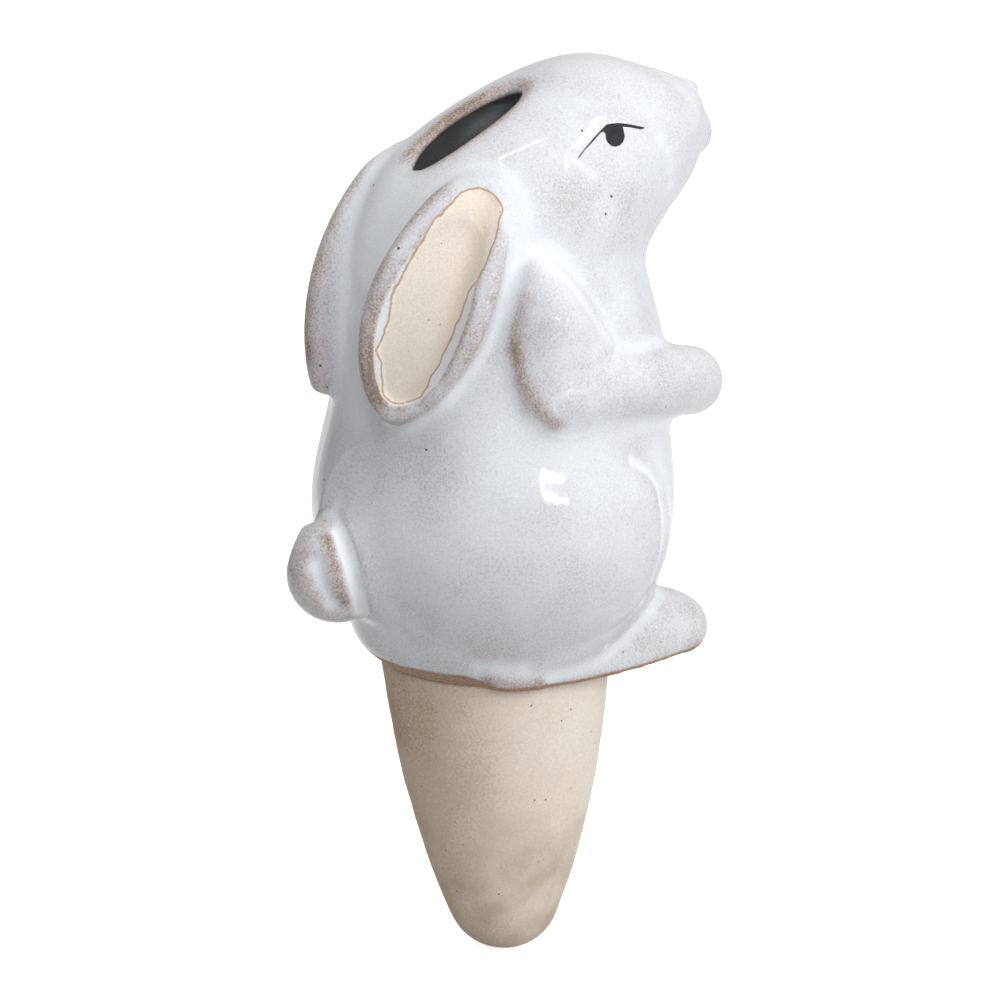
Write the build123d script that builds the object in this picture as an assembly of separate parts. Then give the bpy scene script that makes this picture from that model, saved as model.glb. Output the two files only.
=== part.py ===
from build123d import *
import math
import os

# Self watering plant spike: a hollow glazed stoneware rabbit sitting on a bare clay spike.
# Millimetres. The origin is the centre of the spike at the soil line, +Z is up along the spike,
# the rabbit faces -Y and its left side is +X.

# Clay
WALL = 4.0
LUTING_GAP = 0.15

# Spike, a round bullet whose side and tip are two arcs that meet smoothly
SPIKE_LENGTH = 66.0
SPIKE_TOP_RADIUS = 23.8
SPIKE_TIP_RADIUS = 12.2
SPIKE_SIDE_RADIUS = 180.0
SHOULDER_WIDTH = 3.5
SPIGOT_WALL = 3.0
SPIGOT_THROAT = 8.0

# Body sections from the base to the muzzle, all symmetric about the X = 0 plane. Each one is
# (forward and height of its front point, forward and height of its back point, half width).
FLOOR_HEIGHT = 8.5
BODY_SECTIONS = (
    ((30.4, FLOOR_HEIGHT), (-30.6, FLOOR_HEIGHT), 30.4),
    ((35.2, 22.0), (-36.2, 22.0), 35.8),
    ((36.6, 36.0), (-37.4, 36.0), 37.2),
    ((35.8, 50.5), (-34.0, 50.5), 34.8),
    ((35.4, 64.5), (-33.2, 65.0), 32.4),
    ((32.9, 75.2), (-32.6, 78.0), 30.2),
    ((31.8, 82.2), (-30.2, 90.6), 28.4),
    ((34.2, 87.0), (-23.4, 102.8), 26.6),
    ((38.0, 91.0), (-9.6, 112.8), 24.4),
    ((41.4, 94.0), (7.2, 120.0), 21.6),
    ((43.8, 96.6), (22.4, 122.8), 17.8),
    ((45.8, 99.4), (35.2, 119.2), 13.2),
    ((47.4, 102.4), (43.8, 115.9), 9.0),
)

# Muzzle, an egg across the last section, set back and down from its centre
MUZZLE_SET_BACK = 4.6
MUZZLE_DROP = 2.9
MUZZLE_RADIUS = 9.3
MUZZLE_HALF_WIDTH = 10.8

# Haunches, flat discs that swell out of the flanks
HAUNCH_FORWARD = 1.0
HAUNCH_HEIGHT = 32.0
HAUNCH_RADIUS = 25.0
HAUNCH_PROUD = 2.5
HAUNCH_HALF_THICKNESS = 18.0

# Filling slot in the back of the head
SLOT_TOP_FORWARD = 4.6
SLOT_BOTTOM_FORWARD = -20.0
SLOT_WIDTH = 10.0
SLOT_LIP_ROUND = 1.8

# Ears, leaves laid along the neck and back. The root is below the slot's top end and the tip
# below the root. Bearings are turned from straight back.
EAR_ROOT_DROP = 13.1
EAR_ROOT_BEARING = 56.0
EAR_TIP_DROP = 47.5
EAR_TIP_BEARING = 20.0
EAR_HALF_WIDTH = 12.5
EAR_TIP_OVERHANG = 2.0
EAR_ROOT_RISE = 2.6
EAR_MIDDLE_RISE = 4.0
EAR_TIP_RISE = 4.5
EAR_RIM = 4.2
EAR_HOLLOW_START = 10.0
EAR_HOLLOW_DEPTH = 1.8
EAR_EDGE_ROUND = 2.0
EAR_BED = 9.0
# Points of an ear's edge from root to tip, as shares of its length and of its half width
EAR_EDGE_SHARES = ((0.09, 0.55), (0.28, 0.86), (0.57, 1.0), (0.80, 0.80), (0.94, 0.45))

# Forelegs
SHOULDER_HEIGHT = 92.0
ELBOW_HEIGHT = 53.0
UPPER_ARM_FORWARD = -3.5
UPPER_ARM_RADIUS = 12.0
UPPER_ARM_PROUD = 5.5
FOREARM_START = 62.5
ELBOW_RADIUS = 8.8
FOREARM_RADIUS = 8.3
FOREARM_PROUD = 5.0
FOREARM_FORWARD = 16.0
FOREARM_HEIGHT = 61.0
PAW_RADIUS = 7.2
PAW_REACH = 1.0
PAW_SIDE = 16.0
PAW_HEIGHT = 56.0

# Hind feet
FOOT_LENGTH = 58.0
FOOT_HALF_WIDTH = 10.2
FOOT_HALF_HEIGHT = 12.2
FOOT_LIFT = 3.0
FOOT_SIDE = 17.4
FOOT_FORWARD = 13.0
FOOT_TOE_IN = 5.0

# Tail
TAIL_HEIGHT = 24.4
TAIL_HALF_WIDTH = 8.6
TAIL_HALF_HEIGHT = 11.5
TAIL_PROUD = 12.2


def place(side, forward, up):
    """Point in the figure's own directions: to its left, forward, up."""
    return Vector(side, -forward, up)


def section_wire(front, back, half_width, inset=0.0):
    """Closed elliptical section between a front and a back point, in quarters."""
    front_point = place(0, *front)
    back_point = place(0, *back)
    run = back_point - front_point
    centre = (front_point + back_point) / 2
    plane = Plane(centre, x_dir=(1, 0, 0), z_dir=Vector(1, 0, 0).cross(run))
    half_length = run.length / 2 - inset
    quarters = [
        EllipticalCenterArc((0, 0), half_width - inset, half_length, start, arc_size=90)
        for start in (-90, 0, 90, 180)
    ]
    return plane * Wire(quarters)


def egg(pole_a, pole_b, radius):
    """Ellipsoid that is round about the line between its poles."""
    axis = pole_b - pole_a
    ball = scale(Sphere(1), by=(radius, radius, axis.length / 2))
    return Plane((pole_a + pole_b) / 2, z_dir=axis) * ball


def surface_point(form, start, direction):
    """Outermost point of a form's surface along a ray."""
    hits = form.shell().find_intersection_points(Axis(start, direction))
    return max((point for point, normal in hits), key=lambda point: (point - start).dot(direction))


def prism(plane, outline, half_depth):
    """Straight body on an outline, as deep on both sides of its plane."""
    return extrude(plane.offset(-half_depth) * outline, amount=2 * half_depth)


def mirrored(shape):
    """The same piece on the other side of the figure."""
    return mirror(shape, about=Plane.YZ)


# Body form: the outside of the head and torso without its added pieces
base_section = ((SPIKE_TOP_RADIUS, 0.0), (-SPIKE_TOP_RADIUS, 0.0), SPIKE_TOP_RADIUS)
outer_wires = [section_wire(*section) for section in (base_section, *BODY_SECTIONS)]
torso = Solid.make_loft(outer_wires)
last_front, last_back = BODY_SECTIONS[-1][:2]
muzzle_forward = (last_front[0] + last_back[0]) / 2 - MUZZLE_SET_BACK
muzzle_height = (last_front[1] + last_back[1]) / 2 - MUZZLE_DROP
muzzle = egg(
    place(-MUZZLE_HALF_WIDTH, muzzle_forward, muzzle_height),
    place(MUZZLE_HALF_WIDTH, muzzle_forward, muzzle_height),
    MUZZLE_RADIUS,
)

sideways = Vector(1, 0, 0)
haunch_spot = surface_point(torso, place(0, HAUNCH_FORWARD, HAUNCH_HEIGHT), sideways)
haunch_outer = haunch_spot + sideways * HAUNCH_PROUD
haunch_inner = haunch_outer - sideways * (2 * HAUNCH_HALF_THICKNESS)
left_haunch = egg(haunch_inner, haunch_outer, HAUNCH_RADIUS)
body_form = torso + muzzle + left_haunch + mirrored(left_haunch)

# Spike: the centre of its side arc lies on the far side of the axis, at the tip arc's distance
tip_centre = Vector(0, SPIKE_TIP_RADIUS - SPIKE_LENGTH)
rim_point = Vector(SPIKE_TOP_RADIUS, 0)
chord = tip_centre - rim_point
tip_distance = SPIKE_SIDE_RADIUS - SPIKE_TIP_RADIUS
chord_share = (SPIKE_SIDE_RADIUS**2 - tip_distance**2 + chord.length**2) / (2 * chord.length)
chord_offset = math.sqrt(SPIKE_SIDE_RADIUS**2 - chord_share**2)
chord_dir = chord.normalized()
side_centre = rim_point + chord_dir * chord_share + Vector(chord_dir.Y, -chord_dir.X) * chord_offset
meet_dir = (tip_centre - side_centre).normalized()


def side_radius_at(height, inset):
    """Radius of the spike's side at a height, on a surface inset from the outside."""
    reach = SPIKE_SIDE_RADIUS - inset
    return side_centre.X + math.sqrt(reach**2 - (height - side_centre.Y) ** 2)


def spike_arcs(inset, top):
    """Side arc and tip arc of the spike's outline, from the height top down to the axis."""
    meet = tip_centre + meet_dir * (SPIKE_TIP_RADIUS - inset)
    tip = tip_centre + Vector(0, inset - SPIKE_TIP_RADIUS)
    tip_dir = (meet_dir + Vector(0, -1)).normalized()
    middle_height = (top + meet.Y) / 2
    side = ThreePointArc(
        (side_radius_at(top, inset), top),
        (side_radius_at(middle_height, inset), middle_height),
        meet,
    )
    return [side, ThreePointArc(meet, tip_centre + tip_dir * (SPIKE_TIP_RADIUS - inset), tip)]


spigot_radius = SPIKE_TOP_RADIUS - SHOULDER_WIDTH
throat_radius = spigot_radius - SPIGOT_WALL
outer_arcs = spike_arcs(0.0, 0.0)
inner_arcs = spike_arcs(WALL, -SPIGOT_THROAT)
spike_outline = [
    *outer_arcs,
    Line(outer_arcs[-1] @ 1, inner_arcs[-1] @ 1),
    *inner_arcs,
    Polyline(
        inner_arcs[0] @ 0,
        (throat_radius, 0),
        (throat_radius, FLOOR_HEIGHT),
        (spigot_radius, FLOOR_HEIGHT),
        (spigot_radius, 0),
        outer_arcs[0] @ 0,
    ),
]
spike = revolve(Plane.XZ * make_face(spike_outline), Axis.Z)

# Body shell: the form hollowed to the wall as far as the last section but one, so that the muzzle
# is solid, with the spike's socket and the filling slot. It is moulded as a left and a right half
# that are luted along the X = 0 plane.
cavity = Solid.make_loft([section_wire(*section, inset=WALL) for section in BODY_SECTIONS[:-1]])
socket = Cylinder(
    spigot_radius + LUTING_GAP, FLOOR_HEIGHT, align=(Align.CENTER, Align.CENTER, Align.MIN)
)
slot_top = surface_point(body_form, place(0, SLOT_TOP_FORWARD, 0), Vector(0, 0, 1))
slot_bottom = surface_point(body_form, place(0, SLOT_BOTTOM_FORWARD, 0), Vector(0, 0, 1))
slot_run = slot_bottom - slot_top
slot_plane = Plane(
    (slot_top + slot_bottom) / 2, x_dir=sideways, z_dir=sideways.cross(slot_run)
)


def on_slot_lip(edge):
    """True for the edges where the slot comes out of the head."""
    spot = slot_plane.to_local_coords(edge.center())
    return abs(spot.X) < SLOT_WIDTH and abs(spot.Y) < WALL and abs(spot.Z) < WALL / 2


slot = prism(slot_plane, Ellipse(SLOT_WIDTH / 2, slot_run.length / 2), 3 * WALL)
body_shell = body_form - cavity - socket - slot
slot_edges = [edge for edge in body_shell.edges() if on_slot_lip(edge)]
body_shell = fillet(slot_edges, SLOT_LIP_ROUND)
left_body_half = split(body_shell, Plane.YZ, keep=Keep.TOP)


def ear_seat(height, bearing):
    """Point of the body's surface at a height, turned from straight back to the left."""
    turn = math.radians(bearing)
    return surface_point(body_form, place(0, 0, height), Vector(math.sin(turn), math.cos(turn), 0))


# Ears: a leaf outline through a slab that follows the back in an arc, with a scooped hollow
root_height = slot_top.Z - EAR_ROOT_DROP
tip_height = root_height - EAR_TIP_DROP
ear_root = ear_seat(root_height, EAR_ROOT_BEARING)
ear_tip = ear_seat(tip_height, EAR_TIP_BEARING)
ear_middle = ear_seat(
    (root_height + tip_height) / 2, (EAR_ROOT_BEARING + EAR_TIP_BEARING) / 2
)
ear_along = (ear_tip - ear_root).normalized()
ear_outward = ear_middle - place(0, 0, ear_middle.Z)
ear_normal = (ear_outward - ear_along * ear_outward.dot(ear_along)).normalized()
ear_plane = Plane(ear_root, x_dir=ear_along, z_dir=ear_normal)
ear_length = (ear_tip - ear_root).length + EAR_TIP_OVERHANG
ear_bulge = (ear_middle - ear_root).dot(ear_normal)


def leaf(root_margin, margin):
    """Prism on the ear's outline, drawn in at the root and along the edge by two margins."""
    start, length, half = root_margin, ear_length - root_margin - margin, EAR_HALF_WIDTH - margin
    side = [(start + along * length, across * half) for along, across in EAR_EDGE_SHARES]
    other = [(x, -y) for x, y in reversed(side)]
    outline = Spline([(start, 0), *side, (start + length, 0), *other], periodic=True)
    return prism(ear_plane, make_face(outline), 2 * EAR_BED)


ear_arc = ThreePointArc(
    (0, EAR_ROOT_RISE),
    (ear_length / 2, ear_bulge + EAR_MIDDLE_RISE),
    (ear_length, EAR_TIP_RISE),
)
ear_profile = Plane(ear_root, x_dir=ear_along, z_dir=ear_along.cross(ear_normal))


def ear_slab(drop):
    """Everything under the ear's top surface lowered by a drop."""
    disc = Pos(ear_arc.arc_center) * Circle(ear_arc.radius - drop)
    return prism(ear_profile, disc, 2 * EAR_HALF_WIDTH)


ear_form = leaf(0.0, 0.0) & ear_slab(0.0)
ear_top = ear_form.faces().filter_by(GeomType.CYLINDER).sort_by(Axis(ear_root, ear_normal))[-1]
ear_form = fillet(ear_top.edges(), EAR_EDGE_ROUND)
ear_hollow = leaf(EAR_HOLLOW_START, EAR_RIM) - ear_slab(EAR_HOLLOW_DEPTH)
left_ear = ear_form - ear_hollow - body_form

# Forelegs: an egg-shaped upper arm and a tapered forearm that reaches past the chest
upper_arm_seat = surface_point(
    body_form,
    place(0, UPPER_ARM_FORWARD, (SHOULDER_HEIGHT + ELBOW_HEIGHT) / 2),
    sideways,
)
upper_arm_side = upper_arm_seat.X + UPPER_ARM_PROUD - UPPER_ARM_RADIUS
upper_arm = egg(
    place(upper_arm_side, UPPER_ARM_FORWARD, SHOULDER_HEIGHT),
    place(upper_arm_side, UPPER_ARM_FORWARD, ELBOW_HEIGHT),
    UPPER_ARM_RADIUS,
)
elbow_seat = surface_point(body_form, place(0, UPPER_ARM_FORWARD, FOREARM_START), sideways)
forearm_seat = surface_point(body_form, place(0, FOREARM_FORWARD, FOREARM_HEIGHT), sideways)
chest_front = surface_point(body_form, place(0, 0, PAW_HEIGHT), Vector(0, -1, 0))
elbow_point = place(elbow_seat.X + FOREARM_PROUD - FOREARM_RADIUS, UPPER_ARM_FORWARD, FOREARM_START)
forearm_point = forearm_seat + sideways * (FOREARM_PROUD - FOREARM_RADIUS)
paw_point = place(PAW_SIDE, PAW_REACH - chest_front.Y, PAW_HEIGHT)
forearm_path = ThreePointArc(elbow_point, forearm_point, paw_point)
elbow_round = Plane(elbow_point, z_dir=forearm_path % 0) * Circle(FOREARM_RADIUS)
paw_round = Plane(paw_point, z_dir=forearm_path % 1) * Circle(PAW_RADIUS)
forearm = sweep([elbow_round, paw_round], path=forearm_path, multisection=True)
elbow = Pos(elbow_point) * Sphere(ELBOW_RADIUS)
paw = Pos(paw_point) * Sphere(PAW_RADIUS)
left_foreleg = upper_arm + elbow + forearm + paw - body_form

# Hind feet: long eggs cut flat at the sole
foot_centre = place(FOOT_SIDE, FOOT_FORWARD, FOOT_LIFT)
foot_egg = scale(Sphere(1), by=(FOOT_HALF_WIDTH, FOOT_LENGTH / 2, FOOT_HALF_HEIGHT))
foot_form = Pos(foot_centre) * Rot(0, 0, -FOOT_TOE_IN) * foot_egg
left_hind_foot = split(foot_form, Plane.XY, keep=Keep.TOP) - body_form

# Tail: a flattened ball let into the lower back
tail_seat = surface_point(body_form, place(0, 0, TAIL_HEIGHT), Vector(0, 1, 0))
tail_form = scale(Sphere(1), by=(TAIL_HALF_WIDTH, TAIL_PROUD, TAIL_HALF_HEIGHT))
tail = Pos(tail_seat) * tail_form - body_form

os.makedirs("parts", exist_ok=True)
export_step(left_body_half, "parts/left_body_half.step")
export_step(mirrored(left_body_half), "parts/right_body_half.step")
export_step(spike, "parts/spike.step")
export_step(left_ear, "parts/left_ear.step")
export_step(mirrored(left_ear), "parts/right_ear.step")
export_step(left_foreleg, "parts/left_foreleg.step")
export_step(mirrored(left_foreleg), "parts/right_foreleg.step")
export_step(left_hind_foot, "parts/left_hind_foot.step")
export_step(mirrored(left_hind_foot), "parts/right_hind_foot.step")
export_step(tail, "parts/tail.step")
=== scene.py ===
import math
import bpy
import numpy as np
from mathutils import Matrix, Vector
from mathutils.bvhtree import BVHTree
from mathutils.kdtree import KDTree


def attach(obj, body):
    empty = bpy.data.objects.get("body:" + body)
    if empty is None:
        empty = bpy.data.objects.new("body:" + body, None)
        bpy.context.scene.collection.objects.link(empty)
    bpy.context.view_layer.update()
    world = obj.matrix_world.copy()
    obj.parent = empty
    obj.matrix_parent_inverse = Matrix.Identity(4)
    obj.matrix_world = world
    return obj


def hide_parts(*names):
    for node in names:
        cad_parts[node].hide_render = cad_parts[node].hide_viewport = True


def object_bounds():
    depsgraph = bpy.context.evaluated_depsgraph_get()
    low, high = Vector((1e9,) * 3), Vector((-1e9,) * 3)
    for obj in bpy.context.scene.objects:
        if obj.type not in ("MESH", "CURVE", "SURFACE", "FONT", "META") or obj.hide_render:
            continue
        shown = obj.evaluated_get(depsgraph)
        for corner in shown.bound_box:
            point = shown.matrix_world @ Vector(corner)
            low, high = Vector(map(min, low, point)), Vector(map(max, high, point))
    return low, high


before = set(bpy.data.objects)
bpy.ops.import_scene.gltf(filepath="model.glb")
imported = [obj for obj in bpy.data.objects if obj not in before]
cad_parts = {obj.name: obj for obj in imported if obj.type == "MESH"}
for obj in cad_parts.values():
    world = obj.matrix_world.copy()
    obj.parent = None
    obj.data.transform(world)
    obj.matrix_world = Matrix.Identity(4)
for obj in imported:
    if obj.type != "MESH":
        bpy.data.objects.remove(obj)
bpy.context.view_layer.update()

# Body
# Hollow head and torso of pale stoneware in two moulded halves, with an even wall and soft edges.
# Eyeballs, nose and lips are part of the clay. Places on the figure are in mm, on its right side.
MM = 0.001
CLAY_GRAIN = 0.7 * MM
EYE_CENTRE = Vector((-20.8, -14.9, 110.6))
EYE_FORWARD = Vector((0.080, -0.976, 0.203))
EYE_OUT = Vector((-0.835, 0.045, 0.548))
EYEBALL_CENTRE = EYE_CENTRE + Vector((2.6, 2.2, -3.9))
EYEBALL_SIZE = (8.4, 5.8, 4.2)
NOSE_CENTRE = (-1.8, -44.4, 112.0)
NOSE_SIZE = (4.6, 3.6, 4.2)


def pick_up(piece):
    """Selects one object and nothing else."""
    bpy.ops.object.select_all(action="DESELECT")
    piece.select_set(True)
    bpy.context.view_layer.objects.active = piece


def clay_copy(node):
    """A copy of a CAD solid with its loose triangles merged."""
    lump = bpy.data.objects.new(node + "_clay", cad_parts[node].data.copy())
    bpy.context.scene.collection.objects.link(lump)
    lump.data.materials.clear()
    pick_up(lump)
    bpy.ops.object.mode_set(mode="EDIT")
    bpy.ops.mesh.select_all(action="SELECT")
    bpy.ops.mesh.remove_doubles(threshold=0.005 * MM)
    bpy.ops.object.mode_set(mode="OBJECT")
    return lump


def clay_egg(centre, size, along, out):
    """An egg of clay in mm on each side of the figure: half sizes along it, across it and outwards."""
    eggs = []
    for side in (1, -1):
        flip = Matrix.Diagonal((side, 1, 1))
        z = (flip @ Vector(out)).normalized()
        x = flip @ Vector(along)
        x = (x - z * z.dot(x)).normalized()
        bpy.ops.mesh.primitive_uv_sphere_add(
            segments=48,
            ring_count=24,
            radius=MM,
            location=flip @ Vector(centre) * MM,
            rotation=Matrix((x, z.cross(x), z)).transposed().to_euler(),
            scale=size,
        )
        eggs.append(bpy.context.object)
    return eggs


def luted(lumps):
    """Several lumps of clay put together as one object."""
    bpy.ops.object.select_all(action="DESELECT")
    for lump in lumps:
        lump.select_set(True)
    bpy.context.view_layer.objects.active = lumps[0]
    bpy.ops.object.join()
    return lumps[0]


body = luted([
    clay_copy("left_body_half"),
    clay_copy("right_body_half"),
    *clay_egg(EYEBALL_CENTRE, EYEBALL_SIZE, EYE_FORWARD, EYE_OUT),
    *clay_egg(NOSE_CENTRE, NOSE_SIZE, (1, 0, 0), (0, -1, 0.3)),
])
SLOT_MIDDLE = Vector((0.0, 7.7, 112.6))
SLOT_ALONG = Vector((0.0, 0.884, -0.467))
SLOT_OUT = Vector((0.0, 0.467, 0.884))
RIM_HALF_WIDTH = 6.4
RIM_HALF_LENGTH = 15.4
RIM_SAG = 0.9
slot_rim = [
    SLOT_MIDDLE
    + Vector((-RIM_HALF_WIDTH * math.cos(turn), 0, 0))
    + SLOT_ALONG * (RIM_HALF_LENGTH * math.sin(turn))
    - SLOT_OUT * (RIM_SAG * math.cos(turn) ** 2)
    for turn in np.linspace(-math.pi / 2, math.pi / 2, 13)
]
nose_bridge = [(0.0, -39.5, 117.2), (-4.5, -41.0, 115.2), (-7.5, -43.0, 111.5)]
# Marks are (path, width, depth) in mm, on both sides. A negative depth swells the clay.
body_marks = [
    # brow, corner of the eye, and the cheek in front of and below it
    ([(-17.0, -11.0, 115.2), (-17.9, -17.0, 114.9), (-19.3, -22.5, 113.0)], 2.2, -0.2),
    ([(-21.6, -4.8, 107.6), (-23.0, -6.2, 105.6), (-23.6, -8.0, 104.6)], 1.2, 0.14),
    ([(-20.5, -26.8, 108.6), (-20.8, -28.5, 104.0), (-20.4, -29.2, 99.5)], 2.6, 0.4),
    ([(-24.6, -2.0, 102.5), (-26.3, -4.5, 96.5), (-25.8, -10.0, 92.8)], 5.0, -0.6),
    # neck
    ([(-26.6, 6.5, 92.0), (-27.6, 0.0, 89.0), (-26.8, -8.0, 87.2), (-24.4, -16.1, 85.6),
      (-18.0, -25.0, 84.0), (0.0, -32.0, 83.0)], 4.4, 0.45),
    # lip, muzzle and throat
    ([(-3.6, -49.8, 103.8)], 4.4, -1.0),
    ([(-7.0, -45.5, 108.5), (0.0, -50.0, 108.5), (0.0, -51.5, 104.0)], 4.5, 0.8),
    ([(0.0, -48.0, 96.0), (0.0, -43.5, 88.0), (0.0, -39.5, 80.0)], 8.0, -0.6),
    # split of the lip, mouth and nostril
    ([(0.0, -50.0, 109.6), (0.0, -51.6, 103.5)], 1.0, 1.0),
    ([(0.0, -51.0, 102.4), (-5.0, -48.8, 100.2), (-10.5, -43.5, 99.0)], 1.1, 0.8),
    ([(-2.0, -48.8, 111.8), (-4.2, -47.0, 113.0)], 0.9, 0.7),
    # front of the haunch
    ([(-34.2, -10.4, 47.8), (-33.6, -15.4, 44.6), (-33.5, -17.6, 41.7), (-34.5, -18.4, 35.8),
      (-34.6, -18.3, 29.9), (-33.7, -17.4, 23.2), (-31.0, -16.6, 16.0)], 1.7, 0.8),
    (slot_rim, 3.0, 0.5),
]

# Ears
# Leaf-shaped pads of the same clay, pressed in a mould and luted on the back of the neck. Each has
# a rounded rim and a trough with its deepest line towards the front.
EAR_MIDDLE = Vector((-18.6, 24.0, 82.2))
EAR_DOWN = Vector((0.095, 0.398, -0.912))
EAR_FORWARD = Vector((-0.743, -0.582, -0.331))
EAR_OUT = Vector((-0.663, 0.709, 0.240))
ear_valley = [
    (-20.1, 14.2, 101.6), (-21.5, 18.0, 94.3), (-22.6, 22.4, 83.1), (-22.6, 25.3, 75.4),
    (-21.9, 28.3, 67.5), (-18.5, 30.5, 62.5),
]
ear_top = [(-15.5, 15.8, 106.0), (-19.5, 13.0, 105.0), (-22.5, 10.5, 102.5), (-24.0, 10.5, 98.5)]
ears = [clay_copy("left_ear"), clay_copy("right_ear")]

# Forelegs
# Solid arms pressed in a two-part mould and luted to the flank and chest, with the crease of the
# bent elbow pressed in by hand. The upper arm tapers to the shoulder, from a height in mm.
ARM_BACK_Y = 14 * MM
TAPER_FROM = 71
TAPER_RUN = 18
SHOULDER_TAPER = 0.42
arm_back = [
    (-29.6, 11.5, 83.0), (-28.9, 13.6, 77.0), (-29.2, 13.9, 73.0), (-30.4, 13.0, 67.0),
    (-32.2, 11.2, 63.0), (-35.0, 8.6, 59.0),
]
arm_bend = [(-35.0, 10.0, 64.5), (-36.3, 5.5, 66.0), (-36.4, 0.5, 67.0), (-34.8, -4.2, 67.4)]
arm_fold = [(-36.6, 5.5, 69.2), (-36.8, 1.5, 69.6), (-35.9, -3.0, 70.4)]
arm_front = [
    (-28.5, 4.5, 89.5), (-29.2, 1.5, 86.2), (-29.8, -0.6, 83.0), (-30.6, -3.0, 79.0),
    (-31.2, -5.0, 75.3), (-32.6, -6.4, 72.0),
]
foreleg_marks = [
    (arm_back, 2.4, -0.6),
    ([(-30.5, -7.8, 71.0), (-33.4, -5.6, 67.8)], 1.8, 0.5),
]
forelegs = [clay_copy("left_foreleg"), clay_copy("right_foreleg")]
for arm in forelegs:
    for point in arm.data.vertices:
        taper = 1 - SHOULDER_TAPER * min(max(point.co.z / MM - TAPER_FROM, 0) / TAPER_RUN, 1)
        point.co.y = ARM_BACK_Y - (ARM_BACK_Y - point.co.y) * taper

# Hind feet
# Flat-soled feet of pressed clay, luted under the haunches, that stand on the soil. Heel and toe
# are swollen, with a crease over the heel and a nick in the side.
heel = [(-22.5, 15.5, 2.6), (-24.5, 11.5, 2.4), (-25.8, 7.0, 2.2)]
foot_join = [
    (-29.8, -6.0, 8.3), (-29.9, -8.3, 9.6), (-29.7, -11.4, 11.3), (-28.8, -14.7, 12.8),
    (-27.2, -18.2, 14.1), (-24.5, -22.6, 15.6),
]
foot_marks = [
    (heel, 2.4, -0.8),
    ([(-22.5, 18.0, 6.2), (-24.9, 14.7, 6.8), (-26.5, 10.5, 6.6)], 2.6, 0.6),
    ([(-29.6, -8.1, 7.5), (-30.0, -7.8, 1.0)], 0.7, 0.35),
    ([(-22.0, -34.0, 8.4), (-23.5, -26.0, 11.5)], 3.0, -0.7),
    ([(-22.5, -35.0, 2.5), (-21.0, -37.0, 3.5)], 4.0, -0.9),
]
feet = [clay_copy("left_hind_foot"), clay_copy("right_hind_foot")]

# Tail
# A ball of the same clay, luted on the lower back, with two hollows pressed in each side and a
# ridge left between them.
tail_ridge = [(-4.4, 43.0, 32.4), (-6.3, 43.0, 28.7), (-6.7, 42.2, 24.4), (-7.1, 41.0, 20.1)]
tail_join = [
    (-5.5, 35.0, 34.7), (-8.5, 34.5, 31.2), (-9.8, 34.0, 27.2), (-9.6, 33.0, 21.8), (-8.3, 32.5, 18.1),
]
tail_marks = [
    ([(-4.5, 40.6, 33.4), (-7.2, 41.0, 30.5), (-8.5, 40.4, 27.0), (-8.8, 39.2, 22.0),
      (-6.8, 36.6, 16.5)], 1.5, 1.0),
    ([(-5.0, 45.9, 27.2), (-5.6, 45.0, 23.6), (-6.1, 43.0, 19.6)], 2.4, 1.0),
    (tail_ridge, 1.8, -0.5),
]
tail = [clay_copy("tail")]

# Luting and sponging
# The pieces are stuck on the damp body with slip and the joins rubbed over with a wet sponge, so
# that body and pieces run into each other. The body is also kept on its own, under the pieces.
SPONGE = 0.5
FILL_SHARE = 0.75
HAUNCH_SLIP = 1.0 * MM


def cast(clay):
    """One even skin over a lump of clay, with the mould's grain rubbed off."""
    pick_up(clay)
    skin = clay.modifiers.new("skin", "REMESH")
    skin.mode = "VOXEL"
    skin.voxel_size = CLAY_GRAIN
    sponge = clay.modifiers.new("sponge", "SMOOTH")
    sponge.factor = SPONGE
    sponge.iterations = 8
    for stage in ("skin", "sponge"):
        bpy.ops.object.modifier_apply(modifier=stage)


def points_of(mesh):
    """A mesh's points, one row each, in metres."""
    points = np.empty(len(mesh.vertices) * 3)
    mesh.vertices.foreach_get("co", points)
    return points.reshape(-1, 3)


def outward_of(mesh):
    """The outward way at each point of a mesh."""
    outward = np.empty(len(mesh.vertices) * 3)
    mesh.vertex_normals.foreach_get("vector", outward)
    return outward.reshape(-1, 3)


def move(mesh, points):
    """Puts a mesh's points in new places."""
    mesh.vertices.foreach_set("co", points.ravel())
    mesh.update()


def swell(mesh, rise):
    """Moves each point of a mesh outwards by its own rise in metres."""
    move(mesh, points_of(mesh) + outward_of(mesh) * rise[:, None])


def to_right(points):
    """Points folded over to the figure's right side, in mm."""
    return points / MM * np.where(points[:, :1] > 0, (-1, 1, 1), (1, 1, 1))


def ease(share):
    """A share from 0 to 1 that starts and ends gently."""
    share = np.clip(share, 0, 1)
    return share * share * (3 - 2 * share)


def close_to(mesh, path, width):
    """How close each point is to a path or its mirror image: 1 on it, fading over a width in mm."""
    spots = to_right(points_of(mesh))
    line = np.array(path, float)
    nearest = np.linalg.norm(spots - line[0], axis=1)
    for start, end in zip(line[:-1], line[1:]):
        run = end - start
        share = np.clip((spots - start) @ run / (run @ run), 0, 1)
        nearest = np.minimum(nearest, np.linalg.norm(spots - start - share[:, None] * run, axis=1))
    return np.exp(-((nearest / width) ** 2))


def press(mesh, marks):
    """Presses marks in both sides of the clay."""
    for path, width, depth in marks:
        swell(mesh, -depth * MM * close_to(mesh, path, width))


def rise_to_soft(clay, passes):
    """How far in metres a soft copy of the clay stands over it at each point."""
    soften = clay.modifiers.new("soften", "SMOOTH")
    soften.factor = SPONGE
    soften.iterations = passes
    soft = points_of(clay.evaluated_get(bpy.context.evaluated_depsgraph_get()).data)
    clay.modifiers.remove(soften)
    return ((soft - points_of(clay.data)) * outward_of(clay.data)).sum(axis=1)


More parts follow.
